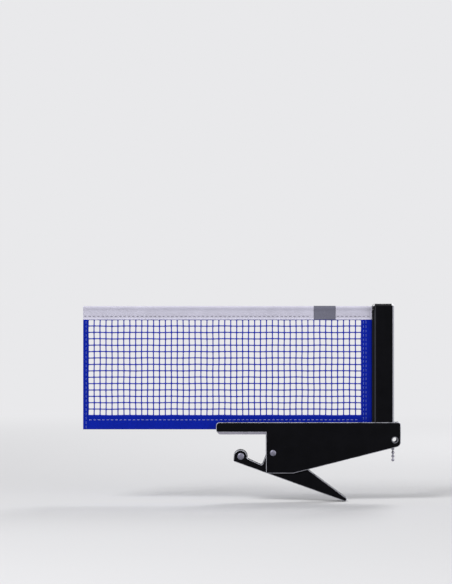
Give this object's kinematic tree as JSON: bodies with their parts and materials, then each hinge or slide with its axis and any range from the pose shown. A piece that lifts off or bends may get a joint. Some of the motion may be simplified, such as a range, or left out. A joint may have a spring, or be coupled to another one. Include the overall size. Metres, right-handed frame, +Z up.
{
  "type": "table tennis net clamp",
  "caption": "Spring clamp with a post that grips the edge of a table and holds one end of a table tennis net by a slot, a cord and a bead chain.",
  "frame": {"origin": "the table's top edge in the middle of the clamp's width, where the plane of the pad's underside meets the outer face of the edge plate", "axes": "+X away from the table along the net, +Y across the clamp's width, +Z up"},
  "size_m": [0.3782, 0.0252, 0.235],
  "materials": {
    "black_steel": "satin black powder coat",
    "zinc_plated_steel": "zinc plated",
    "spring_steel": "oiled spring wire",
    "nickel_plated_chain": "nickel plated",
    "grey_rubber": "matte",
    "black_rubber": "matte",
    "nylon": "natural nylon",
    "black_plastic": "fine moulded grain",
    "white_cord": "braided",
    "white_cotton": "plain woven tape",
    "blue_cloth": "plain woven tape",
    "blue_twine": "twisted nylon twine",
    "grey_cloth": "satin woven label, bare"
  },
  "bodies": {
    "root": {"front_cheek": "black_steel", "rear_cheek": "black_steel", "trough_floor": "black_steel", "edge_plate": "black_steel", "end_plate": "black_steel", "eyelets": "black_steel", "upper_jaw_pad": "grey_rubber", "pivot_rivet": "zinc_plated_steel", "pivot_washers": "nylon", "spring_sleeve": "nylon", "torsion_spring": "spring_steel", "post": "black_steel", "post_cap": "black_plastic", "net_cord": "white_cord", "cord_ferrule": "zinc_plated_steel", "ball_chain": "nickel_plated_chain", "net_mesh": "blue_twine", "net_top_band": "white_cotton", "net_hem": "blue_cloth", "net_end_tape": "blue_cloth", "net_far_tape": "blue_cloth", "net_label": "grey_cloth", "net_batten": "black_plastic"},
    "lever": {"lever": "black_steel", "roller_rivet": "zinc_plated_steel"},
    "roller": {"roller_core": "nylon", "roller_tyre": "black_rubber"},
    "chain_tail": {"chain_tail": "nickel_plated_chain"}
  },
  "joints": [
    {"name": "lever_pivot", "type": "hinge", "parent": "root", "child": "lever", "pos_m": [0.0083, 0, -0.0221], "axis": [0, -1, 0], "range_deg": [0, 25], "stiffness_Nm_per_rad": 3, "springref_deg": -28.65, "deforming": ["torsion_spring"]},
    {"name": "roller_spin", "type": "hinge", "parent": "lever", "child": "roller", "pos_m": [-0.03, 0, -0.0262], "axis": [0, 1, 0], "continuous": true},
    {"name": "chain_tail_swing", "type": "hinge", "parent": "root", "child": "chain_tail", "pos_m": [0.1515, 0, -0.01776], "axis": [0, 1, 0], "range_deg": [-40, 40]}
  ]
}
